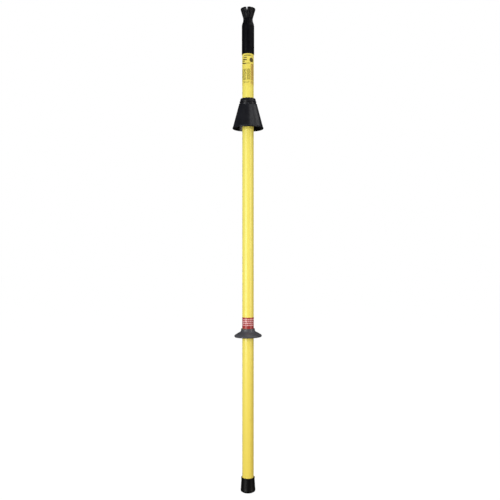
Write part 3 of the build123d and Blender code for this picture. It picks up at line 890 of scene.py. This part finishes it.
def head_outline(angle):
    """The head's closed section at one angle: up the outside, over the rim, down the inside."""
    outline = []
    top = crest(body_radius(rim - LIP_ROUND), angle)
    for _ in range(3):  # the crest and the radius settle on each other
        top = crest(head_outside(min(top, rim), angle), angle)
    in_notch = top < rim - 0.01
    for z in outside_rows:
        level = min(z, top - 0.3) if in_notch else z
        outline.append((head_outside(level, angle), level))
    inner_top = rim
    for _ in range(6):
        inner_top = crest(slotted(inside_radius(min(inner_top, rim)), angle, NOTCH_AT), angle)
    inner_top = max(inner_top, rim - NOTCH_DEPTH)
    outer_start = outline[-1][0] - (0.3 if in_notch else 0.2)
    inner_start = slotted(inside_radius(inner_top), angle, NOTCH_AT) + CREST_EASE
    crest_steps = 8
    for step in range(crest_steps + 1):
        radius = outer_start + (inner_start - outer_start) * step / crest_steps
        outline.append((radius, min(rim, crest(radius, angle))))
    for z in inside_rows:
        level = min(z, inner_top - CREST_EASE)
        radius = inside_radius(level)
        if level >= KEYWAY_FLOOR:
            radius = slotted(radius, angle, NOTCH_AT)
        outline.append((radius, level))
    keyed = slotted(SOCKET, angle, NOTCH_AT)
    pocket = slotted(keyed, angle, NOTCH_AT + math.pi / 2)
    outline += [
        (keyed, KEYWAY_FLOOR),
        (pocket, KEYWAY_FLOOR),
        (pocket, (KEYWAY_FLOOR + POCKET_FLOOR) / 2),
        (pocket, POCKET_FLOOR),
        (KEYWAY_REACH, POCKET_FLOOR),
        (KEYWAY_REACH, (POCKET_FLOOR + PASSAGE_FLOOR) / 2),
        (KEYWAY_REACH, PASSAGE_FLOOR),
        (SOCKET + 0.3, PASSAGE_FLOOR),
        (SOCKET, PASSAGE_FLOOR - 0.3),
        (SOCKET, 1304.0),
        (SOCKET, GUIDE_FOOT + 0.4),
        (SOCKET + 0.35, GUIDE_FOOT),
        (CAVITY, GUIDE_FOOT),
        (CAVITY, CAVITY_FOOT),
        (bore, CAVITY_FOOT),
        (bore, 1275.0),
        (bore, 1255.0),
        (bore, head_low + 0.4),
        (bore + 0.4, head_low),
    ]
    return outline


# The head's angles are whole quarter degrees: 400 spread all round, each one near the two
# notches, those where a keyway's sides end, and a few more by the corners of the pockets.
FINE = math.radians(0.25)
COLUMNS = 400
NEAR_NOTCH = 38
POCKET_EDGES = (49, 50, 52, 54, 56, 58, 60, 61, 62, 63)
fine_steps = {round(2 * math.pi * column / COLUMNS / FINE) for column in range(COLUMNS)}
for turn in (FRONT, -FRONT):
    middle = round((turn + NOTCH_AT) / FINE)
    fine_steps |= set(range(middle - NEAR_NOTCH, middle + NEAR_NOTCH + 1))
    for reach in (KEYWAY_REACH, SOCKET):
        offset = round(math.asin(KEYWAY_HALF / reach) / FINE)
        fine_steps |= {middle - offset, middle + offset}
for turn in (0.0, math.pi):
    middle = round((turn + NOTCH_AT) / FINE)
    for offset in POCKET_EDGES:
        fine_steps |= {middle - offset, middle + offset}
turn_steps = round(2 * math.pi / FINE)
head_angles = [step * FINE for step in sorted({step % turn_steps for step in fine_steps})]
head = skin("coupling_head_skin", head_angles, [head_outline(angle) for angle in head_angles])
drill(head, DRAIN_AT, DRAIN_Z, DRAIN_RADIUS, 6.0, 18.0)
for side in (0.0, math.pi):
    drill(head, side, pin_height, pin_hole, bore - OVERCUT, SLEEVE + 2.0)
place(head, "coupling_head")


# ---------------- plunger

STEM = 8.2
SEAL_GROOVE = 6.65
SEAL_GROOVE_LOW, SEAL_GROOVE_HIGH = 1307.55, 1309.45
FLANGE_TOP = 1295.7
FLANGE_THICK = 3.0
DISH = 0.35  # depth of the hollow in the top

plunger_low, plunger_top, flange_radius = span("plunger")
plunger = lathe("plunger_skin", [
    (0.0, plunger_top - DISH, 0),
    (1.3, plunger_top - DISH, 0.2),
    (1.8, plunger_top, 0.2),
    (STEM - 1.0, plunger_top, 0.4),
    (STEM, plunger_top - 1.0, 0.4),
    (STEM, SEAL_GROOVE_HIGH, 0.1),
    (SEAL_GROOVE, SEAL_GROOVE_HIGH, 0.1),
    (SEAL_GROOVE, SEAL_GROOVE_LOW, 0.1),
    (STEM, SEAL_GROOVE_LOW, 0.1),
    (STEM, FLANGE_TOP, 0.3),
    (flange_radius, FLANGE_TOP, 0.4),
    (flange_radius, FLANGE_TOP - FLANGE_THICK, 0.4),
    (6.5, FLANGE_TOP - FLANGE_THICK, 0.3),
    (5.9, plunger_low, 0.8),
    (0.0, plunger_low, 0),
], columns=96)
place(plunger, "plunger", body="plunger")


# ---------------- plunger spring

WIRE = 0.69  # radius of the wire
COIL = 7.6
COIL_TURNS = 7  # the first and the last are closed
COIL_STEPS = 72  # in a turn
WIRE_FACETS = 20

spring_low, spring_high, _ = span("plunger_spring")
closed_pitch = 2.1 * WIRE
open_pitch = (spring_high - spring_low - 2 * WIRE - 2 * closed_pitch) / (COIL_TURNS - 2)
coil_points = []
for step in range(COIL_TURNS * COIL_STEPS + 1):
    turned = step / COIL_STEPS
    swing = 2 * math.pi * turned
    rising = min(turned, 1.0) * closed_pitch
    rising += min(max(turned - 1.0, 0.0), COIL_TURNS - 2.0) * open_pitch
    rising += max(turned - COIL_TURNS + 1.0, 0.0) * closed_pitch
    outward = Vector((math.cos(swing), math.sin(swing), 0))
    climb = open_pitch / (2 * math.pi * COIL)
    forward = Vector((-math.sin(swing), math.cos(swing), climb)).normalized()
    across = forward.cross(outward)
    middle = outward * COIL + Vector((0, 0, spring_low + WIRE + rising))
    for facet in range(WIRE_FACETS):
        around = 2 * math.pi * facet / WIRE_FACETS
        off_middle = outward * math.cos(around) + across * math.sin(around)
        coil_points.append((middle + off_middle * WIRE) * MM)
coil_faces = []
for step in range(COIL_TURNS * COIL_STEPS):
    ring = step * WIRE_FACETS
    after = ring + WIRE_FACETS
    for facet in range(WIRE_FACETS):
        following = (facet + 1) % WIRE_FACETS
        coil_faces.append((ring + facet, ring + following, after + following, after + facet))
coil_faces.append(tuple(range(WIRE_FACETS)))
coil_faces.append(tuple(range(len(coil_points) - 1, len(coil_points) - 1 - WIRE_FACETS, -1)))
coil = surface("plunger_spring_skin", coil_points, coil_faces)
place(coil, "plunger_spring")
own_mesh(coil)


# ---------------- floor, light and camera

WHITE = (1.0, 1.0, 1.0, 1.0)
FLOOR_REACH = 14.0  # metres
FLOOR_SIDES = 64
FLOOR_GREY = 0.05  # what the pole sees of the floor
FLOOR_GLOW = 0.985  # what the camera sees of it
WORLD_LIGHT = 0.3
WORLD_IN_REFLECTIONS = 0.05

floor_turns = [2 * math.pi * side / FLOOR_SIDES for side in range(FLOOR_SIDES)]
floor = mesh_object("studio_floor", [
    (FLOOR_REACH * math.cos(turn), FLOOR_REACH * math.sin(turn), cad_box[0].z - 0.2 * MM)
    for turn in floor_turns
], [tuple(range(FLOOR_SIDES))])
paper = Finish("pale_floor", roughness=0.9, specular=0.1)
paper.shader.inputs["Base Color"].default_value = (FLOOR_GREY, FLOOR_GREY, FLOOR_GREY, 1.0)
paper.shader.inputs["Emission Color"].default_value = WHITE
paper_glow = paper.add("ShaderNodeMath", operation="MULTIPLY")
paper_glow.inputs[1].default_value = FLOOR_GLOW
paper.join(paper.add("ShaderNodeLightPath").outputs["Is Camera Ray"], paper_glow.inputs[0])
paper.join(paper_glow.outputs[0], paper.shader.inputs["Emission Strength"])
floor.data.materials.append(paper.material)


def softbox(name, position, aim, width, tall, power, tone=(1.0, 1.0, 1.0)):
    """A rectangular area light turned towards a point: metres and watts."""
    light = bpy.data.lights.new(name, "AREA")
    light.shape = "RECTANGLE"
    light.size = width
    light.size_y = tall
    light.energy = power
    light.color = tone
    lamp = bpy.data.objects.new(name, light)
    lamp.location = position
    lamp.rotation_euler = (Vector(aim) - Vector(position)).to_track_quat("-Z", "Y").to_euler()
    bpy.context.scene.collection.objects.link(lamp)


MIDDLE = (0, 0, 0.66)
UPPER = (0, 0, 1.05)
softbox("key_left", (-1.35, -1.5, 0.72), MIDDLE, 0.75, 1.4, 37.2, (0.99, 1.0, 0.985))
softbox("fill_right", (1.75, -1.0, 0.71), MIDDLE, 0.7, 1.38, 24.5, (1.0, 0.93, 0.87))
softbox("low_left", (-1.1, -1.3, 0.24), (0, 0, 0.08), 0.6, 0.42, 4.4, (1.0, 0.98, 0.92))
softbox("sheen_front_right", (1.2, -1.45, 2.7), UPPER, 1.5, 0.9, 7.0)
softbox("sheen_far_right", (1.9, 0.3, 2.7), UPPER, 1.7, 0.9, 8.0)
softbox("top_soft", (0.1, 0.3, 2.9), (0, 0, 0.6), 1.2, 1.2, 6.0)

world = bpy.data.worlds.new("studio")
bpy.context.scene.world = world
world.use_nodes = True
nodes, links = world.node_tree.nodes, world.node_tree.links
sky = nodes["Background"]
sky.inputs["Color"].default_value = WHITE
rays = nodes.new("ShaderNodeLightPath")
level = nodes.new("ShaderNodeMapRange")
level.inputs["To Min"].default_value = WORLD_LIGHT
level.inputs["To Max"].default_value = WORLD_IN_REFLECTIONS
links.new(rays.outputs["Is Glossy Ray"], level.inputs["Value"])
seen = nodes.new("ShaderNodeMath")
seen.operation = "MAXIMUM"
links.new(level.outputs[0], seen.inputs[0])
links.new(rays.outputs["Is Camera Ray"], seen.inputs[1])
links.new(seen.outputs[0], sky.inputs["Strength"])

# level with the pole's middle, fitted to the photo
LENS, SENSOR = 46.56, 36.0
CAMERA_ASIDE, CAMERA_AWAY, CAMERA_ABOVE = 0.0056, 1.812, 0.0007  # metres from the middle
centre = (cad_box[0] + cad_box[1]) / 2
camera_data = bpy.data.cameras.new("photo_camera")
camera_data.lens = LENS
camera_data.sensor_width = SENSOR
camera_data.clip_start = 0.05
camera_data.clip_end = 60.0
camera = bpy.data.objects.new("photo_camera", camera_data)
camera.location = (centre.x + CAMERA_ASIDE, centre.y - CAMERA_AWAY, centre.z + CAMERA_ABOVE)
camera.rotation_euler = (math.radians(90), 0, 0)
bpy.context.scene.collection.objects.link(camera)
bpy.context.scene.camera = camera
bpy.context.scene.view_settings.view_transform = "Standard"
